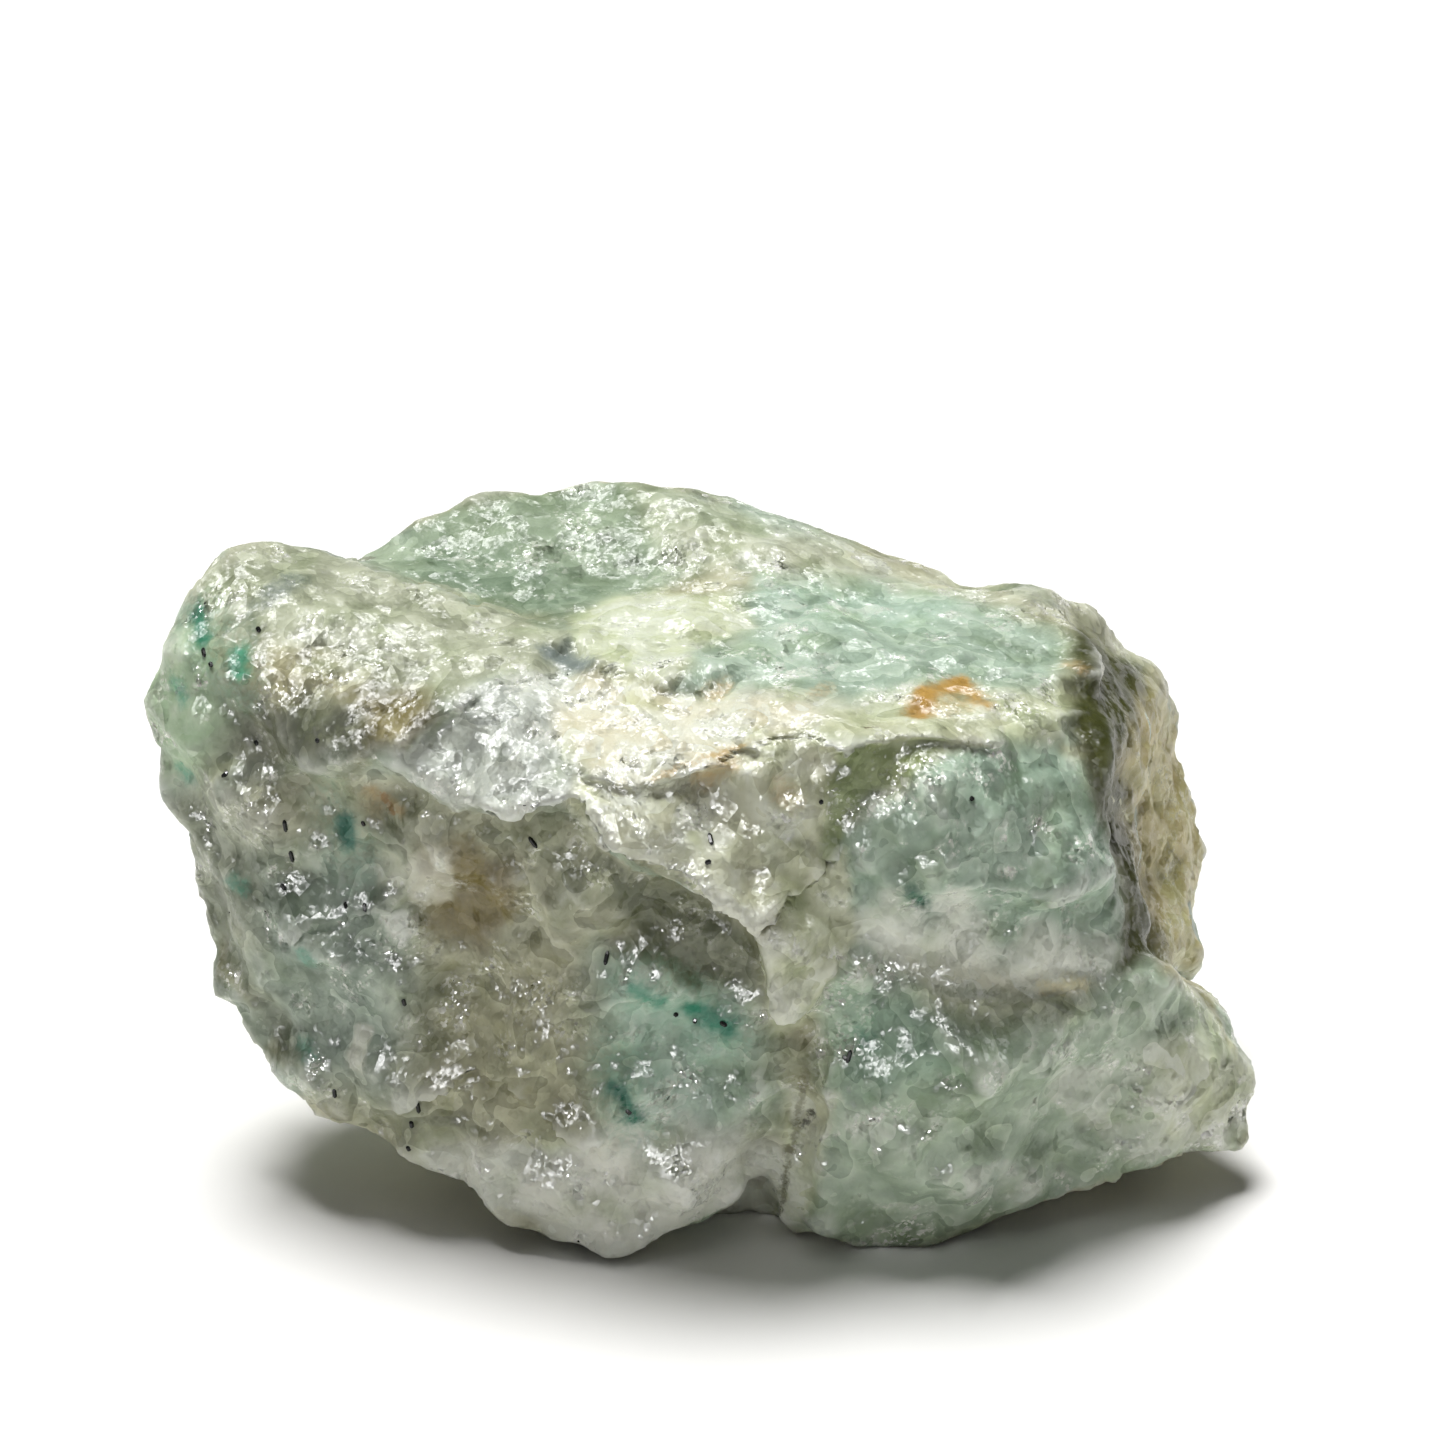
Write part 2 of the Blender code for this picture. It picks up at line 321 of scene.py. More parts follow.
def placeMesh(name, mesh):
    # an object in the scene made from a bmesh, which is freed
    data = bpy.data.meshes.new(name)
    mesh.to_mesh(data)
    mesh.free()
    placed = bpy.data.objects.new(name, data)
    bpy.context.scene.collection.objects.link(placed)
    return placed


def fineSolid():
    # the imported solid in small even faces
    mesh = bmesh.new()
    mesh.from_mesh(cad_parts["aquamarine"].data)
    bmesh.ops.remove_doubles(mesh, verts=mesh.verts, dist=stoneShape["weld"] * mm)
    solid = placeMesh("fineSolid", mesh)
    remesh = solid.modifiers.new("even", "REMESH")
    remesh.mode = "VOXEL"
    remesh.voxel_size = stoneShape["voxel"] * mm
    soften = solid.modifiers.new("soften", "SMOOTH")
    soften.factor = stoneShape["softening"]
    soften.iterations = stoneShape["softenings"]
    fine = bpy.data.meshes.new_from_object(solid.evaluated_get(bpy.context.evaluated_depsgraph_get()))
    bpy.data.objects.remove(solid)
    return fine


def readVectors(data, attribute):
    values = np.zeros(len(data.vertices) * 3)
    data.vertices.foreach_get(attribute, values)
    return values.reshape(-1, 3)


def seenFromCamera(places, normals):
    seen = np.zeros(len(places), bool)
    slack = stoneShape["seenSlack"] * mm
    for index in np.flatnonzero(((np.array(cameraPlace) - places) * normals).sum(1) > 0):
        ray = Vector(places[index]) - cameraPlace
        place, _, _, distance = fineTree.ray_cast(cameraPlace, ray.normalized())
        seen[index] = place is not None and distance > ray.length - slack
    return seen


def fadeEnds(along, whole):
    left = np.minimum(along, whole - along)
    return smoothShare(left / stoneShape["endFade"] + stoneShape["endLeft"])


def cutLedges(data):
    places = readVectors(data, "co")
    normals = readVectors(data, "normal")
    pixels = toPixels(places)
    seen = seenFromCamera(places, normals)
    grain = stoneShape["edgeGrain"] * mm
    ragged = np.array([noise.voronoi(Vector(place) / grain)[0][0] for place in places])
    ragged = (ragged - stoneShape["edgeMiddle"]) * stoneShape["edgeRagged"]
    moves = np.zeros_like(places)
    for ledge in ledges.values():
        signed, along, whole = nearLine(pixels, ledge["line"])
        signed = ragged - signed
        proud = 1 - smoothShare(signed / ledge["reach"])
        undercut = -stoneShape["undercut"] * (1 - smoothShare(-signed / stoneShape["undercutReach"]))
        lip = np.where(signed > 0, proud, undercut)
        push = np.array(Vector(ledge["push"]).normalized())
        moves += (lip * fadeEnds(along, whole) * seen * ledge["height"] * mm)[:, None] * push
    for crease in creases.values():
        signed, along, whole = nearLine(pixels, crease["line"])
        groove = np.exp(-((signed + ragged * stoneShape["creaseRagged"]) / crease["width"]) ** 2)
        moves -= (groove * fadeEnds(along, whole) * seen * crease["depth"] * mm)[:, None] * normals
    data.vertices.foreach_set("co", (places + moves).ravel())
    data.update()


# Regions of colour: an outline in photo pixels, how soft its edge is in mm, strength and colour.
# milk is how milky and glittering a region gets, and 1 where it isn't given.
regions = {
    "front": {
        "outline": [(171, 797), (287, 777), (354, 760), (440, 790), (500, 815), (575, 807), (649, 864),
                    (704, 890), (756, 924), (774, 1029), (800, 1130), (782, 1215), (709, 1219),
                    (604, 1266), (498, 1211), (425, 1171), (326, 1098), (246, 992), (171, 860)],
        "soft": 1.0, "strength": 1.0, "colour": "8a8b70",
    },
    "frontGreen": {
        "outline": [(240, 850), (390, 850), (420, 980), (400, 1090), (300, 1070), (250, 980)],
        "soft": 3.0, "strength": 0.8, "colour": "74887a",
    },
    "frontBlue": {
        "outline": [(600, 960), (740, 1000), (780, 1100), (700, 1170), (600, 1110)],
        "soft": 3.0, "strength": 0.8, "colour": "9ab6a4",
    },
    "frontOlive": {
        "outline": [(440, 960), (560, 950), (600, 1120), (540, 1170), (430, 1090)],
        "soft": 3.0, "strength": 0.7, "colour": "92906a",
    },
    "brown": {
        "outline": [(425, 850), (470, 840), (515, 860), (515, 905), (480, 950), (425, 925)],
        "soft": 1.2, "strength": 1.0, "colour": "665a2a", "milk": 0.6,
    },
    # painted shade in dark olive under the tongue's overhanging edge
    "shadeUnderTongue": {
        "outline": [(600, 850), (660, 880), (720, 915), (762, 940), (752, 990), (680, 985), (630, 930)],
        "soft": 0.8, "strength": 0.9, "colour": "4c5230", "milk": 0.6,
    },
    # pale stone along the base, lifted almost to white: painted light on the downward-facing base
    "bottomWhiteAndPaintedLight": {
        "outline": [(430, 1150), (560, 1160), (640, 1120), (770, 1150), (770, 1205), (656, 1253),
                    (604, 1266), (531, 1218)],
        "soft": 2.0, "strength": 0.95, "colour": "fdfdf0",
    },
    "leftEdge": {
        "outline": [(165, 770), (240, 790), (252, 900), (240, 980), (206, 923), (165, 860)],
        "soft": 2.0, "strength": 0.8, "colour": "8a927e",
    },
    "rearHill": {
        "outline": [(342, 545), (403, 537), (449, 504), (507, 491), (600, 475), (700, 500), (760, 525),
                    (700, 570), (640, 600), (590, 616), (500, 612), (446, 595), (400, 587)],
        "soft": 1.0, "strength": 1.0, "colour": "8a9b80", "milk": 0.55,
    },
    "hillShade": {
        "outline": [(400, 575), (440, 540), (560, 560), (620, 590), (560, 622), (470, 605)],
        "soft": 2.0, "strength": 0.7, "colour": "5c745b", "milk": 0.55,
    },
    "hillRight": {
        "outline": [(640, 500), (830, 545), (960, 580), (1048, 594), (1020, 612), (860, 585),
                    (760, 570), (680, 560)],
        "soft": 2.0, "strength": 0.8, "colour": "c4c6ac", "milk": 0.7,
    },
    "noseTop": {
        "outline": [(165, 661), (203, 587), (235, 546), (281, 535), (336, 547), (400, 585), (477, 608),
                    (550, 625), (590, 640), (545, 672), (464, 694), (430, 700), (330, 660), (250, 640)],
        "soft": 1.2, "strength": 1.0, "colour": "a0a58c", "milk": 0.8,
    },
    "noseFace": {
        "outline": [(155, 688), (190, 650), (250, 650), (330, 690), (430, 700), (440, 722), (409, 749),
                    (354, 760), (287, 777), (200, 760), (165, 770)],
        "soft": 1.5, "strength": 1.0, "colour": "62664e", "milk": 0.7,
    },
    "noseLeft": {
        "outline": [(150, 640), (200, 640), (230, 720), (210, 765), (165, 775), (150, 700)],
        "soft": 2.0, "strength": 0.8, "colour": "a6c49c",
    },
    "noseOchre": {
        "outline": [(368, 702), (430, 690), (448, 715), (405, 748), (362, 756)],
        "soft": 1.0, "strength": 0.8, "colour": "6c5e12",
    },
    "noseOchreBelow": {
        "outline": [(225, 655), (330, 660), (360, 700), (290, 700), (230, 680)],
        "soft": 1.5, "strength": 0.5, "colour": "9c9058",
    },
    "shelf": {
        "outline": [(380, 760), (409, 749), (440, 722), (464, 694), (545, 672), (590, 680), (560, 720),
                    (585, 765), (590, 790), (560, 800), (500, 815), (440, 790)],
        "soft": 0.6, "strength": 1.0, "colour": "a8aea4",
    },
    "greySeam": {
        "outline": [(543, 652), (575, 640), (592, 660), (585, 678), (560, 676)],
        "soft": 0.4, "strength": 0.9, "colour": "66716c",
    },
    "creamSlab": {
        "outline": [(556, 700), (575, 680), (600, 672), (655, 690), (700, 700), (770, 690), (830, 700),
                    (803, 734), (736, 749), (705, 774), (635, 789), (586, 771), (555, 740)],
        "soft": 0.8, "strength": 1.0, "colour": "d4ceb0",
    },
    "lens": {
        "outline": [(572, 618), (620, 600), (690, 592), (745, 600), (757, 633), (699, 651), (665, 684),
                    (601, 667), (578, 650)],
        "soft": 0.7, "strength": 1.0, "colour": "cad1ac",
    },
    "topGreen": {
        "outline": [(757, 633), (745, 600), (860, 585), (1000, 610), (1078, 640), (1060, 690),
                    (960, 690), (850, 705), (770, 688), (700, 696), (672, 690), (699, 655)],
        "soft": 1.0, "strength": 1.0, "colour": "96aa96", "milk": 0.75,
    },
    "topDeep": {
        "outline": [(745, 600), (760, 575), (900, 590), (1000, 612), (900, 625), (800, 620)],
        "soft": 1.2, "strength": 0.8, "colour": "a8c2ac", "milk": 0.75,
    },
    "topCream": {
        "outline": [(840, 712), (920, 690), (1050, 690), (1075, 640), (1085, 700), (1060, 745),
                    (947, 737), (846, 746), (800, 734)],
        "soft": 1.2, "strength": 0.8, "colour": "b8bc98",
    },
    "tongue": {
        "outline": [(575, 771), (635, 789), (705, 774), (736, 749), (803, 734), (846, 746), (830, 800),
                    (814, 855), (788, 893), (776, 908), (756, 924), (704, 890), (649, 864), (610, 842),
                    (566, 800)],
        "soft": 0.4, "strength": 1.0, "colour": "bebea0",
    },
    "oliveBand": {
        "outline": [(836, 746), (950, 738), (905, 785), (870, 800), (850, 830), (817, 860), (822, 800)],
        "soft": 0.8, "strength": 0.9, "colour": "6c7c38", "milk": 0.6,
    },
    "rightBlock": {
        "outline": [(850, 830), (870, 800), (905, 785), (950, 750), (1060, 745), (1085, 760),
                    (1120, 870), (1115, 985), (1036, 996), (938, 1000), (880, 960), (850, 900)],
        "soft": 0.8, "strength": 1.0, "colour": "849a86",
    },
    # a cream band low on the block, lifted almost to white: painted light on its downward-facing fold
    "blockLowCreamAndPaintedLight": {
        "outline": [(850, 930), (890, 900), (930, 930), (960, 900), (1000, 960), (1050, 930), (1110, 950),
                    (1080, 990), (1010, 1020), (950, 985), (900, 965)],
        "soft": 1.8, "strength": 0.9, "colour": "fdfff0",
    },
    "crystal": {
        "outline": [(406, 865), (430, 840), (458, 846), (455, 880), (452, 905), (410, 903)],
        "soft": 0.25, "strength": 0.55, "colour": "cfcdbb",
    },
    "crystalLeft": {
        "outline": [(372, 846), (402, 852), (402, 884), (376, 884)],
        "soft": 0.4, "strength": 0.6, "colour": "dadbc8",
    },
    "crystalLow": {
        "outline": [(350, 1052), (360, 1027), (371, 1030), (368, 1068), (353, 1066)],
        "soft": 0.25, "strength": 0.8, "colour": "e4e2d2",
    },
    "glintPatch": {
        "outline": [(384, 914), (404, 912), (414, 930), (402, 938), (390, 928)],
        "soft": 0.25, "strength": 0.8, "colour": "f0f4ea",
    },
    "flakeLow": {
        "outline": [(455, 1168), (530, 1165), (560, 1190), (606, 1200), (590, 1240), (530, 1216),
                    (470, 1192)],
        "soft": 0.3, "strength": 0.65, "colour": "e6e6d6",
    },
    "flakeSmall": {
        "outline": [(478, 1150), (530, 1150), (536, 1164), (505, 1172), (482, 1164)],
        "soft": 0.3, "strength": 0.6, "colour": "d6d8c8",
    },
    "rightSide": {
        "outline": [(1078, 605), (1104, 641), (1149, 686), (1185, 737), (1189, 815), (1165, 970),
                    (1115, 985), (1120, 870), (1085, 760), (1070, 700)],
        "soft": 0.8, "strength": 1.0, "colour": "3e4206", "milk": 0.1,
    },
    "farRight": {
        "outline": [(1149, 686), (1200, 737), (1210, 784), (1220, 891), (1210, 985), (1165, 970),
                    (1150, 860), (1130, 760)],
        "soft": 1.2, "strength": 0.8, "colour": "d6c68c", "milk": 0.5,
    },
    "lobe": {
        "outline": [(854, 940), (938, 1000), (1115, 985), (1150, 958), (1203, 1007), (1244, 1076),
                    (1260, 1109), (1236, 1158), (1122, 1182), (991, 1227), (877, 1255), (775, 1219),
                    (785, 1180), (812, 1110), (815, 1000)],
        "soft": 0.8, "strength": 1.0, "colour": "98a992",
    },
    "lobeGreen": {
        "outline": [(840, 980), (930, 1000), (960, 1080), (880, 1110), (830, 1080)],
        "soft": 2.0, "strength": 0.8, "colour": "6c8e74", "milk": 0.8,
    },
    "lobeFlake": {
        "outline": [(1060, 1060), (1150, 1075), (1225, 1108), (1182, 1128), (1178, 1150), (1125, 1168),
                    (1090, 1130), (1050, 1100)],
        "soft": 0.4, "strength": 0.55, "colour": "c2ceb6",
    },
    "lobeGlass": {
        "outline": [(965, 1170), (1000, 1160), (1035, 1168), (1040, 1196), (1000, 1206), (968, 1190)],
        "soft": 0.3, "strength": 0.6, "colour": "c9d6c6",
    },
    # painted shade in dark olive green along the lobe's underside
    "lobeUnderShade": {
        "outline": [(885, 1262), (885, 1232), (1000, 1226), (1100, 1200), (1244, 1156), (1250, 1200)],
        "soft": 0.8, "strength": 0.8, "colour": "5f7350",
    },
    "lobeTip": {
        "outline": [(1150, 1050), (1203, 1030), (1244, 1076), (1255, 1110), (1225, 1150), (1160, 1140)],
        "soft": 1.8, "strength": 0.8, "colour": "dadcba",
    },
    "crackCream": {
        "outline": [(880, 950), (1000, 970), (1095, 985), (1085, 1012), (1000, 1028), (930, 1005)],
        "soft": 1.2, "strength": 0.4, "colour": "c8c096",
    },
    "leaf": {
        "outline": [(776, 908), (820, 860), (850, 850), (856, 940), (823, 983), (805, 1035),
                    (774, 1032), (757, 977)],
        "soft": 0.6, "strength": 1.0, "colour": "b4b896",
    },
    "groove": {
        "outline": [(795, 1100), (830, 1100), (806, 1215), (774, 1215)],
        "soft": 0.8, "strength": 0.8, "colour": "e8eac4",
    },
}


# How ragged the edges of the regions are.
regionEdge = {
    "ragged": 0.6,
    "least": 0.4,  # share on a sharp edge
    "bySoftness": 0.5,  # and more of it the softer the edge is
    "shift": (7, 3, 5),  # keeps the pattern apart from the one on the ledges
}

# The sides the camera doesn't see have soft clouds of colour.
clouds = {
    "size": 9.0,  # mm
    "colours": ("8c9d8a", "74806a", "a9aa92", "8f8d6c"),
    "smoothness": 0.8,
    "finer": 2.0,  # how much finer each octave is
    "octaves": 4,
    "start": -0.1,  # value of the pattern at which a colour sets in
    "width": 0.4,
}


def paintRegions(data):
    # the colour of each point, and how milky it is
    places = readVectors(data, "co")
    normals = readVectors(data, "normal")
    pixels = toPixels(places)
    seen = seenFromCamera(places, normals)
    grain = stoneShape["edgeGrain"] * mm
    shift = Vector(regionEdge["shift"])
    ragged = np.array([noise.noise(Vector(place) / grain + shift) for place in places])
    ragged *= regionEdge["ragged"]
    tint = np.ones((len(places), 4)) * hexColour(clouds["colours"][0])
    size = clouds["size"] * mm
    pattern = (clouds["smoothness"], clouds["finer"], clouds["octaves"])
    for number, code in enumerate(clouds["colours"][1:]):
        drift = Vector((number * 19, 5, number * 7))  # keeps the colours' clouds apart
        cloudy = np.array([noise.fractal(Vector(place) / size + drift, *pattern) for place in places])
        tint += (hexColour(code) - tint) * smoothShare((cloudy - clouds["start"]) / clouds["width"])[:, None]
    for region in regions.values():
        outline = region["outline"] + region["outline"][:1]
        signed = nearLine(pixels, outline)[0]
        inside = np.zeros(len(pixels), bool)
        for (startX, startY), (endX, endY) in zip(outline, outline[1:]):
            crosses = (pixels[:, 1] > startY) != (pixels[:, 1] > endY)
            rise = (pixels[:, 1] - startY) / ((endY - startY) or 1)
            inside ^= crosses & (pixels[:, 0] < startX + rise * (endX - startX))
        fray = regionEdge["least"] + region["soft"] * regionEdge["bySoftness"]
        depth = np.abs(signed) * np.where(inside, 1, -1) + ragged * fray
        mask = smoothShare(0.5 + depth / (2 * region["soft"])) * region["strength"] * seen
        colour = np.array(hexColour(region["colour"]))
        colour[3] = region.get("milk", 1.0)
        tint += (colour - tint) * mask[:, None]
    layer = data.attributes.new("tint", "FLOAT_COLOR", "POINT")
    layer.data.foreach_set("color", tint.ravel())


# Chips: how the surface breaks, from large to small. Sizes in mm, tilts as slopes.
chips = {
    "Large chip": 8.0,
    "Large tilt": 0.24,
    "Middle chip": 4.0,
    "Middle tilt": 0.16,
    "Layer spread": 5.0,
    "Layer count": 7.0,
    "Layer step": 0.17,
    "Steep below": 0.2,  # upward part of the normal
    "Flat above": 0.9,
    "Top smoothness": 0.6,
    "Level start": 0.3,
    "Level height": 2.5,  # the broken surface fades out this low, so that the base stays flat
}
chipGrades = {"Large": ((0.9, 0.4, 0.6), "CHEBYCHEV"), "Middle": ((1.1, 0.3, 0.7), "MANHATTAN")}
chipBend = (6.0, 0.8)  # size and reach in mm
layerDetail = 3.0

# Broad patterns that are kept on the points, so that the shader needn't work them out again.
hollowSteps = 14
crystalBend = (4.0, 0.5)
patterns = {
    # how the place is changed, size in mm, detail, roughness, and where the pattern starts and ends
    "curdled": (("ADD", (0.0, 0.0, 0.0)), 3.2, 3.0, 0.55, 0.45, 0.7),
    "murk": (("ADD", (31.0, 7.0, 3.0)), 3.8, 3.0, 0.55, 0.46, 0.68),
    "glitter": (("MULTIPLY", (0.8, 1.0, 0.9)), 3.0, 4.0, 0.7, 0.54, 0.62),
}


def keepPatterns(bench, stored, place, normal):
    # hollow says how deep a point lies under those around it, in mm, and is less than 0 on an edge
    where = bench.wire("GeometryNodeInputPosition")
    sockets = {"Value": where, "Iterations": hollowSteps}
    around = bench.wire("GeometryNodeBlurAttribute", {"data_type": "FLOAT_VECTOR"}, sockets)
    kept = {
        "hollow": bench.dot(bench.vector("SUBTRACT", around, where), normal) / mm,
        "bent": bench.warped(place, *crystalBend),
    }
    for name, ((change, amount), size, detail, roughness, start, end) in patterns.items():
        cloudy = bench.noise(bench.vector(change, place, amount), size, detail, roughness)
        kept[name] = bench.ease(cloudy, start, end)
    for name, pattern in kept.items():
        kind = "FLOAT_VECTOR" if name == "bent" else "FLOAT"
        stored = bench.wire(
            "GeometryNodeStoreNamedAttribute", {"data_type": kind, "domain": "POINT"},
            {"Geometry": stored, "Name": name, "Value": pattern},
        )
    return stored


def chipTree():
    tree = bpy.data.node_groups.new("chipStone", "GeometryNodeTree")
    tree.interface.new_socket("Geometry", in_out="INPUT", socket_type="NodeSocketGeometry")
    for name in chips:
        tree.interface.new_socket(name, in_out="INPUT", socket_type="NodeSocketFloat")
    tree.interface.new_socket("Finish", in_out="INPUT", socket_type="NodeSocketMaterial")
    tree.interface.new_socket("Geometry", in_out="OUTPUT", socket_type="NodeSocketGeometry")
    bench = Bench(tree)
    given = bench.node("NodeGroupInput")
    value = {name: Wire(bench, given.outputs[name]) for name in chips}
    place = bench.scaled(bench.wire("GeometryNodeInputPosition"), 1 / mm)
    normal = bench.wire("GeometryNodeInputNormal")
    bent = bench.warped(place, *chipBend)
    height = 0.0
    for grade, (turn, metric) in chipGrades.items():
        size = value[grade + " chip"]
        points = bench.pyramids(bench.inUnits(bent, size), turn, metric)
        height = points * size * value[grade + " tilt"] + height
    layered = bench.layers(bench.inUnits(bent, value["Layer spread"]), 1.0, value["Layer count"], layerDetail)
    height = layered * value["Layer step"] + height
    upward = bench.wire("ShaderNodeSeparateXYZ", {}, {0: normal}, 2)
    above = bench.wire("ShaderNodeSeparateXYZ", {}, {0: place}, 2)
    calm = 1 - bench.ease(upward, value["Steep below"], value["Flat above"]) * value["Top smoothness"]
    level = bench.ease(above, value["Level start"], value["Level height"])
    move = bench.scaled(normal, height * calm * level * mm)
    moved = bench.wire(
        "GeometryNodeSetPosition", {}, {"Geometry": Wire(bench, given.outputs[0]), "Offset": move},
    )
    stored = keepPatterns(bench, moved, place, normal)
    solid = bench.wire("GeometryNodeRealizeInstances", {}, {0: stored})
    finished = bench.wire(
        "GeometryNodeSetMaterial", {}, {"Geometry": solid, "Material": Wire(bench, given.outputs["Finish"])},
    )
    bench.node("NodeGroupOutput", {}, {0: finished})
    return tree


def bakeTree(obj, tree, values):
    # runs a geometry tree on the object and keeps the plain mesh it makes
    run = obj.modifiers.new(tree.name, "NODES")
    run.node_group = tree
    for item in tree.interface.items_tree:
        if item.in_out == "INPUT" and item.name in values:
            run[item.identifier] = values[item.name]
    made = bpy.data.meshes.new_from_object(obj.evaluated_get(bpy.context.evaluated_depsgraph_get()))
    obj.modifiers.remove(run)
    obj.data = made


# The camera comes first, because the ledges are cut where it sees them.
addCamera()
print("camera set")

fine = fineSolid()
fineTree = BVHTree.FromPolygons(
    [vert.co.copy() for vert in fine.vertices], [list(face.vertices) for face in fine.polygons]
)
paintRegions(fine)
cutLedges(fine)
print("regions painted, ledges and creases cut")

stone = bpy.data.objects.new("roughStone", fine)
bpy.context.scene.collection.objects.link(stone)
stoneFinish = bpy.data.materials.new("aquamarineRough")
bakeTree(stone, chipTree(), {**chips, "Finish": stoneFinish})
places = readVectors(stone.data, "co")
places[:, 2] = np.maximum(places[:, 2], 0)
stone.data.vertices.foreach_set("co", places.ravel())
stone.data.update()
stone.data.shade_smooth()
stone.data.materials.clear()
stone.data.materials.append(stoneFinish)
print("stone chipped:", len(stone.data.polygons), "faces")

stoneTree = BVHTree.FromPolygons(
    [vert.co.copy() for vert in stone.data.vertices], [list(face.vertices) for face in stone.data.polygons]
)


def onStone(pixel):
    # the point of the stone under a photo pixel, in mm
    ray = lookThrough(pixel)
    hit = stoneTree.ray_cast(cameraPlace, ray)[0]
    if hit is None:
        hit = stoneTree.find_nearest(cameraPlace + ray * viewer["distance"] * mm)[0]
    return hit / mm


# The finish of the stone. Sizes in mm, colours as hex.
finish = {
    "milk": "e4e8da",  # no milky part is paler than this
    "milkGain": 1.4,
    "milkLift": (0.16, 0.16, 0.14),
    "curdled": 0.4,  # how milky the curdled parts are
    "murk": 0.55,
    "deep": (0.42, 0.5, 0.3),  # what the depth leaves of the colour
    "layers": ((5.0, 5.0, 0.65), (2.0, 3.0, 0.4)),  # spread, count and whiteness
    "layerDetail": 2.0,
    "layerRise": 0.05,  # share of the spread
    "sheen": 0.5,  # how milky the glittering parts are
    # size, slope in calm parts and in glittering ones, and the number above which a crystal glints
    "crystals": ((1.3, 0.55, 0.65, 0.86), (0.5, 0.25, 0.75, 0.72), (0.2, 0.25, 0.8, 0.62)),
    # painted glint: near white painted into the colour of glinting crystals, and its strength
    "glint": ("fffff6", 0.65),
    "glintEdge": 0.03,
    # painted shade in the hollows and painted highlight on the edges: colour, the depth at which it starts,
    # the depth at which it is full, and its strength
    "paintedHollowShade": ("625c3c", 0.08, 0.6, 0.4),
    "paintedEdgeHighlight": ("f4f6ee", -0.08, -0.5, 0.45),
    "patches": (0.45, 2.0, 0.7, 0.35, 0.65),  # size, detail, roughness, start and end
    "roughness": 0.38,
    "glintSmoothness": 0.26,
    "glitterSmoothness": 0.12,
    "bend": 1.58,  # index of refraction
    "glow": 0.2,
    "glowDepth": 2.0,
    "glowColour": (1.0, 1.0, 0.8),
}

# Stains are painted on the mesh. They run between photo pixels: width in mm, strength and colour.
stains = {
    "ochreSlabLeft": ((712, 692), (722, 688), 0.9, 0.45, "dcb676"),
    "ochreTop": ((815, 692), (828, 688), 0.8, 0.4, "d0b07c"),
    "ochreTongue": ((705, 776), (728, 762), 1.0, 0.6, "bc9a62"),
    "ochreTongueLow": ((780, 788), (792, 800), 1.0, 0.5, "c8b080"),
    "ochreCorner": ((1068, 664), (1080, 668), 0.8, 0.5, "c0a068"),
    "creamCrack": ((1045, 988), (1082, 984), 0.8, 0.7, "f0e6b4"),
    "brownStreak": ((464, 850), (490, 900), 1.5, 0.6, "7d7038"),
    "brownBelow": ((440, 928), (500, 908), 1.3, 0.6, "807440"),
    "brownTop": ((355, 800), (372, 806), 1.4, 0.6, "97804e"),
    "rustHalo": ((935, 700), (965, 695), 2.2, 0.55, "c8ac74"),
    "rustArcLeft": ((918, 716), (924, 694), 1.0, 0.95, "b48a3c"),
    "rustArcTop": ((924, 692), (962, 684), 0.8, 0.95, "bc9448"),
    "rustArcRight": ((962, 684), (984, 704), 0.7, 0.85, "c0984c"),
    "rustShelf": ((372, 790), (400, 812), 0.55, 0.6, "a88a50"),
    "haloNose": ((200, 620), (240, 680), 2.6, 0.3, "8fbfa6"),
    "haloFront": ((340, 800), (350, 860), 2.6, 0.3, "8cbca4"),
    "haloMiddle": ((620, 1060), (640, 1120), 2.6, 0.4, "86bba0"),
    "haloRight": ((640, 990), (720, 1030), 2.8, 0.45, "86bba0"),
    "tealStreak": ((197, 612), (203, 640), 0.8, 0.9, "127a5c"),
    "tealNose": ((240, 655), (240, 672), 0.9, 0.8, "2c9a78"),
    "tealEdge": ((177, 686), (183, 696), 0.9, 0.7, "2ea07c"),
    "tealLow": ((183, 768), (190, 774), 0.8, 0.6, "3aa584"),
    "tealFront": ((345, 820), (347, 842), 0.85, 0.95, "0c6a54"),
    "tealFrontLow": ((233, 880), (240, 888), 0.8, 0.6, "3f9a7e"),
    "tealCorner": ((303, 957), (309, 962), 0.9, 0.65, "3c9477"),
    "tealCornerLow": ((304, 1045), (308, 1054), 0.8, 0.65, "358c70"),
    "tealMiddle": ((614, 1086), (636, 1118), 0.8, 0.95, "0f6a52"),
    "tealRight": ((692, 1008), (728, 1029), 1.0, 0.95, "1d7f62"),
    "tealRightSmall": ((633, 989), (658, 1002), 0.7, 0.8, "2a8a6c"),
    "tealHole": ((912, 893), (922, 903), 0.8, 0.9, "0f5a44"),
    "tealLobe": ((862, 1036), (870, 1040), 0.8, 0.6, "2f7f66"),
    "smudge": ((272, 596), (296, 578), 1.2, 0.7, "5b6b66"),
    "smudgeSmall": ((250, 600), (256, 640), 0.5, 0.4, "4b6a60"),
    "greySeam": ((545, 650), (588, 664), 0.9, 0.75, "6d7a78"),
}

stainFray = {
    "seed": 1,  # any but 0, which would fray them differently in each run
    "size": 0.9,  # mm
    "reach": 0.35,  # mm
    "outside": 1.3,  # widths from the middle at which a stain ends
}

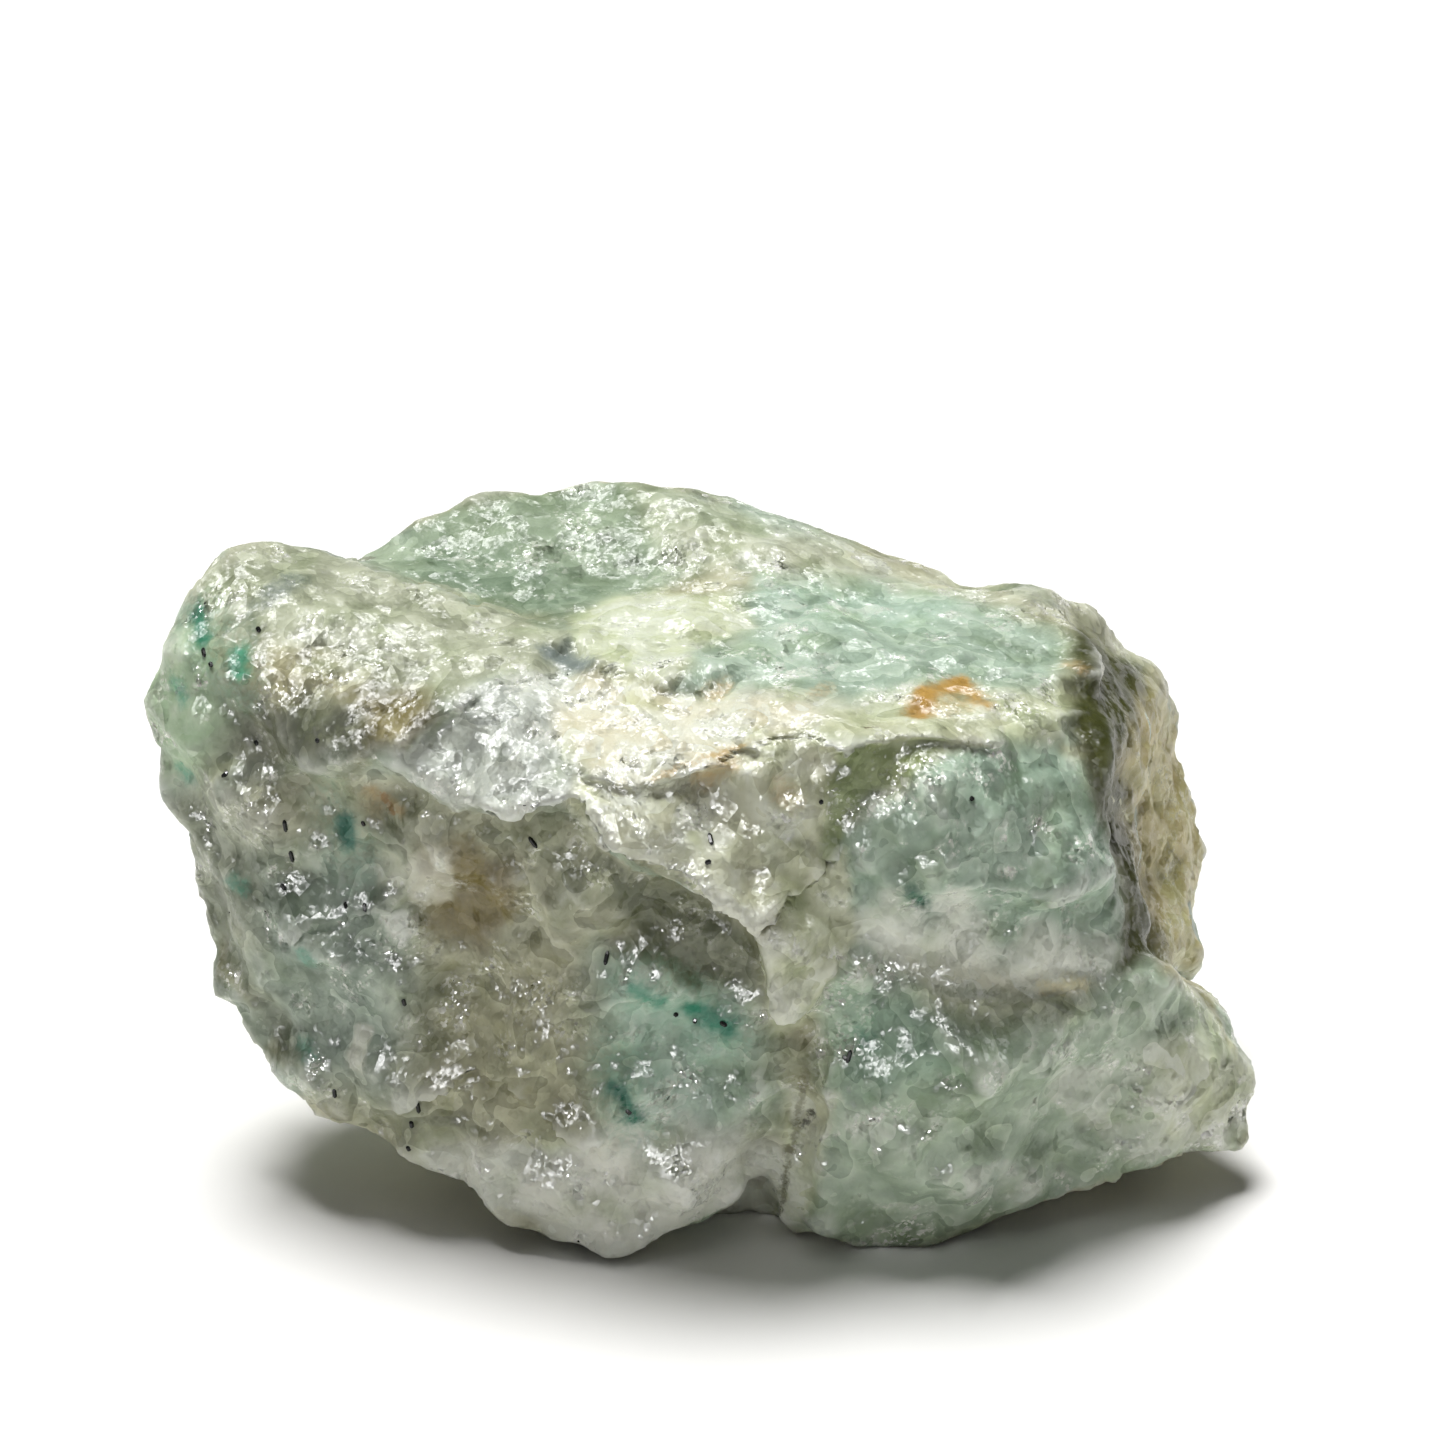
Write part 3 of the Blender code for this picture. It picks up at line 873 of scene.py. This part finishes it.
# Fine lines are given like stains, but are too thin for the mesh and are drawn by the shader.
fineLines = {
    "brownLine": ((382, 795), (394, 814), 0.3, 0.9, "8a6a30"),
    "lineRightEdge": ((1112, 796), (1134, 846), 0.14, 0.7, "e2e2c4"),
    "lineRightInner": ((1120, 800), (1146, 866), 0.14, 0.7, "dadbb8"),
    "lineRightLow": ((1130, 830), (1153, 876), 0.14, 0.7, "e2e2c4"),
    "darkHole": ((803, 1124), (813, 1112), 0.35, 0.9, "3c3c28"),
    "grooveLine": ((806, 1070), (792, 1150), 0.35, 0.6, "6e6c48"),
    "grooveLineLow": ((790, 1150), (780, 1212), 0.4, 0.7, "6e6c48"),
    "slabLine": ((866, 728), (878, 727), 0.16, 0.9, "5a4a28"),
    "ochreSlab": ((655, 778), (745, 745), 0.35, 0.6, "c4a666"),
}
lineFray = {"outside": 1.5, "inside": 0.5, "patchy": 0.8}  # shares of the width


def paintStains(data):
    # colour times cover, and cover, so that the edges blend cleanly
    places = readVectors(data, "co") / mm
    noise.seed_set(stainFray["seed"])
    pushes = np.array([noise.noise_vector(Vector(place) / stainFray["size"]) for place in places])
    frayed = places + pushes * stainFray["reach"]
    paint = np.zeros((len(places), 4))
    for start, end, width, strength, code in stains.values():
        first, last = np.array(onStone(start)), np.array(onStone(end))
        step = last - first
        offset = frayed - first
        share = np.clip(offset @ step / (step @ step), 0, 1)
        away = np.linalg.norm(offset - share[:, None] * step, axis=1)
        mask = smoothShare(stainFray["outside"] - away / width)[:, None] * strength
        paint += (np.array(hexColour(code)) - paint) * mask
    layer = data.attributes.new("stain", "FLOAT_COLOR", "POINT")
    layer.data.foreach_set("color", paint.ravel())


def paintStone(material):
    material.use_nodes = True
    bench = Bench(material.node_tree)
    bench.tree.nodes.clear()
    place = bench.scaled(bench.wire("ShaderNodeTexCoord", {}, {}, "Object"), 1 / mm)
    bent = bench.attribute("bent", "Vector")
    hollow = bench.attribute("hollow")
    glitter = bench.attribute("glitter")
    milkiness = bench.attribute("tint", "Alpha")

    def milky(colour, share):
        bright = bench.vector("ADD", bench.scaled(colour, finish["milkGain"]), finish["milkLift"])
        bright = bench.vector("MINIMUM", bright, hexColour(finish["milk"])[:3])
        return bench.blend(share * milkiness, colour, bright)

    # milk and depth in every part
    colour = milky(bench.attribute("tint", "Color"), bench.attribute("curdled") * finish["curdled"])
    deep = bench.vector("MULTIPLY", colour, finish["deep"])
    colour = bench.blend(bench.attribute("murk") * finish["murk"], colour, deep)

    # layers broken back, each whiter towards its edge
    height = 0.0
    for spread, count, whiteness in finish["layers"]:
        layer = bench.layers(bent, spread, count, finish["layerDetail"])
        colour = milky(colour, layer * layer * whiteness)
        height = layer * (spread * finish["layerRise"]) + height

    # crystals, that glint in the patches that glitter, and a painted glint: the glinting ones are also
    # painted near white
    colour = milky(colour, glitter * finish["sheen"])
    glitter = glitter * milkiness
    lean = (0.0, 0.0, 0.0)
    glints = 0.0
    for number, (size, calm, lively, rare) in enumerate(finish["crystals"]):
        tilted, luck = bench.facets(bent, size, 5.0 + number * 6.0)
        lean = bench.vector("ADD", lean, bench.scaled(tilted, calm + glitter * (lively - calm)))
        glints = bench.ease(luck, rare, rare + finish["glintEdge"]) + glints
    glints = glints * glitter
    paintedGlintColour, paintedGlintStrength = finish["glint"]
    # painted glint: the glinting crystals are painted near white
    colour = bench.blend(glints * paintedGlintStrength, colour, hexColour(paintedGlintColour))

    # painted shade darkens the hollows, and a painted highlight pales the convex edges
    for name in ("paintedHollowShade", "paintedEdgeHighlight"):
        code, start, full, strength = finish[name]
        colour = bench.blend(bench.ease(hollow, start, full, 0.0, strength), colour, hexColour(code))

    # stains and fine lines, both patchy
    size, detail, roughness, start, end = finish["patches"]
    patchy = bench.ease(bench.noise(place, size, detail, roughness), start, end)
    cover = bench.attribute("stain", "Alpha")
    frayed = 1 - patchy * (1 - cover)
    under = bench.scaled(colour, 1 - cover * frayed)
    colour = bench.vector("ADD", under, bench.scaled(bench.attribute("stain", "Color"), frayed))
    for start, end, width, strength, code in fineLines.values():
        first, last = onStone(start), onStone(end)
        step = last - first
        offset = bench.vector("SUBTRACT", place, tuple(first))
        share = bench.dot(offset, tuple(step / step.length_squared))
        share = bench.wire("ShaderNodeClamp", {}, {0: share})
        away = bench.length(bench.vector("SUBTRACT", offset, bench.scaled(tuple(step), share)))
        away = away + patchy * (width * lineFray["patchy"])
        drawn = bench.ease(away, width * lineFray["outside"], width * lineFray["inside"], 0.0, strength)
        colour = bench.blend(drawn, colour, hexColour(code))

    straight = bench.wire("ShaderNodeNewGeometry", {}, {}, "Normal")
    leaning = bench.vector("NORMALIZE", bench.vector("ADD", straight, lean))
    sockets = {"Strength": 1.0, "Distance": mm, "Height": height, "Normal": leaning}
    bump = bench.wire("ShaderNodeBump", {}, sockets, "Normal")
    rough = finish["roughness"] - glints * finish["glintSmoothness"] - glitter * finish["glitterSmoothness"]
    shader = bench.node("ShaderNodeBsdfPrincipled", {"subsurface_method": "RANDOM_WALK"}, {
        "Base Color": colour,
        "Roughness": rough,
        "IOR": finish["bend"],
        "Subsurface Weight": finish["glow"],
        "Subsurface Radius": finish["glowColour"],
        "Subsurface Scale": finish["glowDepth"] * mm,
        "Normal": bump,
    })
    bench.node("ShaderNodeOutputMaterial", {}, {"Surface": Wire(bench, shader.outputs[0])})


paintStains(stone.data)
paintStone(stoneFinish)
print("stone painted")

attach(stone, "root")
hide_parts("aquamarine")


# Small black needles that stand in the stone, each from one photo pixel to another.
needles = {
    "nose": [((203, 648), (205, 657)), ((210, 662), (212, 667)), ((257, 627), (260, 632)),
             ((222, 777), (228, 772)), ((255, 741), (258, 745)), ((316, 739), (319, 742))],
    "frontLeft": [((284, 820), (286, 832)), ((290, 851), (293, 862)), ((281, 884), (286, 890)),
                  ((345, 902), (347, 909)), ((364, 903), (366, 912)), ((362, 821), (365, 826)),
                  ((334, 1089), (335, 1098)), ((417, 1102), (419, 1113)), ((411, 1121), (412, 1128)),
                  ((407, 1146), (410, 1151)), ((403, 999), (405, 1006))],
    "frontRight": [((529, 837), (537, 848)), ((605, 965), (608, 951)), ((674, 1013), (678, 1016)),
                   ((693, 1020), (697, 1022)), ((720, 1022), (727, 1026)), ((626, 1110), (631, 1114))],
    "tongue": [((709, 833), (712, 845)), ((705, 863), (711, 861)), ((819, 803), (823, 801))],
    "lobe": [((843, 1056), (847, 1060)), ((847, 1063), (851, 1050)), ((970, 797), (974, 800))],
}
needleShape = {
    "width": 0.32,  # mm
    "sides": 6,
    "rings": ((0.0, 0.45), (0.2, 1.0), (0.8, 1.0), (1.0, 0.35)),  # share of the length and of the width
}


def plainFinish(name, colour, roughness):
    # a material of one colour, and its shader
    material = bpy.data.materials.new(name)
    material.use_nodes = True
    shader = material.node_tree.nodes["Principled BSDF"]
    shader.inputs["Base Color"].default_value = hexColour(colour)
    shader.inputs["Roughness"].default_value = roughness
    return material, shader


def addNeedles():
    mesh = bmesh.new()
    for start, end in (pair for group in needles.values() for pair in group):
        first, last = onStone(start), onStone(end)
        along = (last - first).normalized()
        across = along.orthogonal().normalized()
        beside = along.cross(across)
        thick, sides = needleShape["width"], needleShape["sides"]
        rings = []
        for share, width in needleShape["rings"]:
            middle = first.lerp(last, share)
            ring = []
            for side in range(sides):
                turn = 2 * math.pi * side / sides
                out = across * math.cos(turn) + beside * math.sin(turn)
                ring.append(mesh.verts.new((middle + out * thick * width / 2) * mm))
            rings.append(ring)
        for lower, upper in zip(rings, rings[1:]):
            for side in range(sides):
                after = (side + 1) % sides
                mesh.faces.new((lower[side], lower[after], upper[after], upper[side]))
        mesh.faces.new(rings[0][::-1])
        mesh.faces.new(rings[-1])
    piece = placeMesh("needles", mesh)
    black, _ = plainFinish("needleBlack", "10120f", 0.25)
    piece.data.materials.append(black)
    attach(piece, "root")


addNeedles()
print("needles set")


# The pale floor, the soft daylight above, the small lights and the white surround.
studio = {
    "floorSize": 4.0,  # m
    "floorColour": "f4f3f1",
    "surround": 0.07,
    "aim": (0, 0, 0.02),  # m
    "lights": {
        # place in m, size in m, power in W
        "window": ((-0.15, -0.35, 0.50), 0.2, 7.0),
        "spark": ((0.12, 0.05, 0.60), 0.03, 0.4),
        "sparkRight": ((0.40, -0.25, 0.45), 0.03, 0.4),
        "sparkLeft": ((-0.35, -0.30, 0.40), 0.03, 0.4),
    },
    "daylight": ((-0.14, 0.25, 1.0), 25, 4.1),  # way it comes from, softness in degrees, strength
}


def addFloor():
    mesh = bmesh.new()
    bmesh.ops.create_grid(mesh, x_segments=1, y_segments=1, size=studio["floorSize"] / 2)
    floor = placeMesh("floor", mesh)
    paper, shader = plainFinish("paper", studio["floorColour"], 1.0)
    shader.inputs["Specular IOR Level"].default_value = 0.0
    floor.data.materials.append(paper)


def addLights():
    for name, (place, size, power) in studio["lights"].items():
        light = bpy.data.lights.new(name, "AREA")
        light.size = size
        light.energy = power
        lamp = bpy.data.objects.new(name, light)
        lamp.location = place
        aim = Vector(studio["aim"]) - lamp.location
        lamp.rotation_euler = aim.to_track_quat("-Z", "Y").to_euler()
        lamp.visible_diffuse = False  # these only make the crystals glint
        bpy.context.scene.collection.objects.link(lamp)
    way, softness, strength = studio["daylight"]
    sun = bpy.data.lights.new("daylight", "SUN")
    sun.angle = math.radians(softness)
    sun.energy = strength
    sky = bpy.data.objects.new("daylight", sun)
    sky.rotation_euler = Vector(way).to_track_quat("Z", "Y").to_euler()
    bpy.context.scene.collection.objects.link(sky)
    world = bpy.data.worlds.new("surround")
    world.use_nodes = True
    world.node_tree.nodes["Background"].inputs["Color"].default_value = (1, 1, 1, 1)
    world.node_tree.nodes["Background"].inputs["Strength"].default_value = studio["surround"]
    bpy.context.scene.world = world
    bpy.context.scene.view_settings.view_transform = "Standard"


addFloor()
addLights()
print("floor and lights set")
